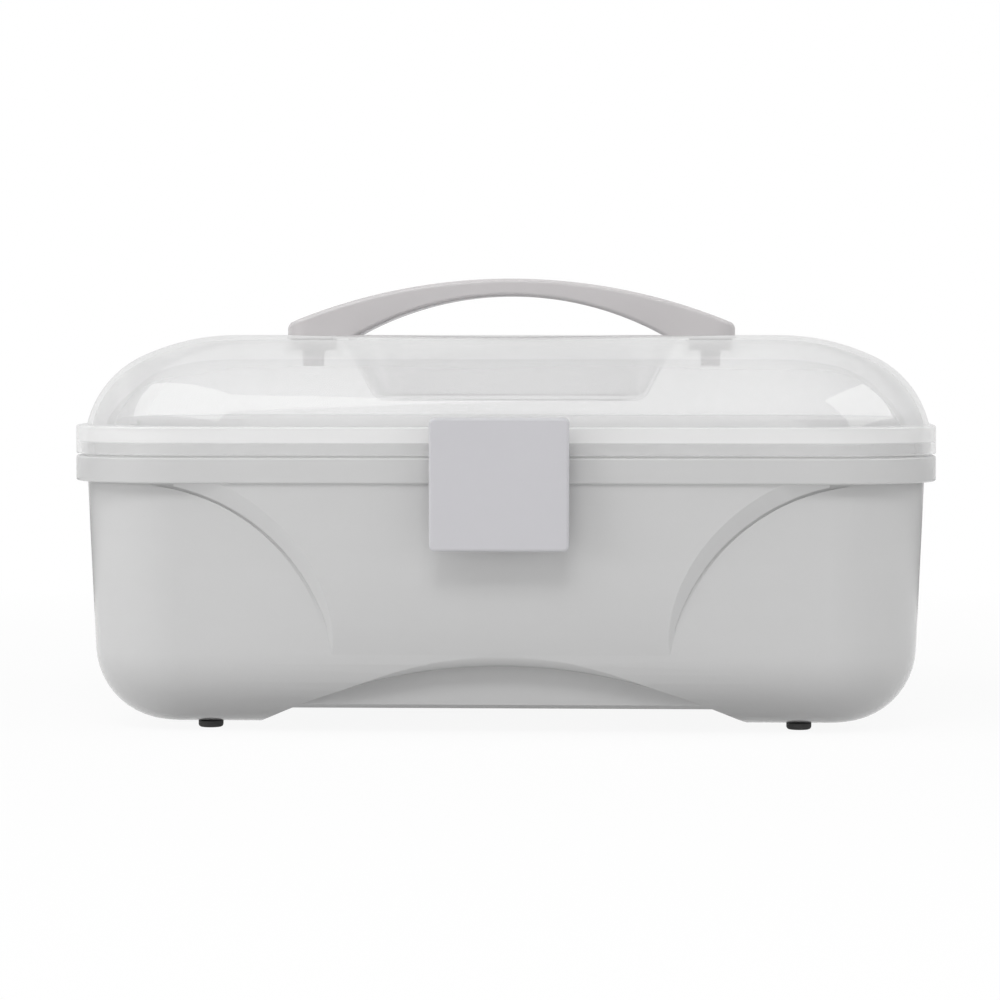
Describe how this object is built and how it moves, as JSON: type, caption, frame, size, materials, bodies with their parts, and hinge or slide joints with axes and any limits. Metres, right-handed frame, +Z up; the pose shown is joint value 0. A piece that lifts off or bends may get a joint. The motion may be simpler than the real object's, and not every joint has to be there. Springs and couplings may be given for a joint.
{
  "type": "medicine box",
  "caption": "Domed household medicine box with a bowed top handle, a square front latch, rear hinges and a lift-out compartment tray.",
  "frame": {"origin": "on the table under the middle of the box", "axes": "+X along the long side to the right of someone facing the latch, -Y out of the front where the latch is, +Z up"},
  "size_m": [0.33, 0.2372, 0.1732],
  "materials": {
    "tub": "moulded, glossy grey",
    "lid": "moulded, milky and translucent",
    "handle": "moulded, satin warm grey",
    "latch": "moulded, glossy pale grey",
    "tray": "moulded, satin off-white",
    "foot": "moulded, dull black",
    "pin": "drawn wire"
  },
  "bodies": {
    "base": {"base_tub": "tub", "foot_front_left": "foot", "foot_front_right": "foot", "foot_rear_left": "foot", "foot_rear_right": "foot", "hinge_pin_left": "pin", "hinge_pin_right": "pin"},
    "lid": {"lid": "lid", "handle": "handle", "latch_pin": "pin"},
    "latch": {"latch": "latch"},
    "tray": {"inner_tray": "tray"},
    "divider_left": {"tray_divider_left": "tray"},
    "divider_right": {"tray_divider_right": "tray"}
  },
  "joints": [
    {"name": "lid_hinge", "type": "hinge", "parent": "base", "child": "lid", "pos_m": [0, 0.1142, 0.1052], "axis": [-1, 0, 0], "range_deg": [0, 105]},
    {"name": "latch_hinge", "type": "hinge", "parent": "lid", "child": "latch", "pos_m": [0, -0.1132, 0.1153], "axis": [-1, 0, 0], "range_deg": [0, 90]},
    {"name": "tray_lift", "type": "slide", "parent": "base", "child": "tray", "axis": [0, 0, 1], "range_m": [0, 0.009]},
    {"name": "divider_left_lift", "type": "slide", "parent": "tray", "child": "divider_left", "axis": [0, 0, 1], "range_m": [0, 0.012]},
    {"name": "divider_right_lift", "type": "slide", "parent": "tray", "child": "divider_right", "axis": [0, 0, 1], "range_m": [0, 0.012]}
  ]
}
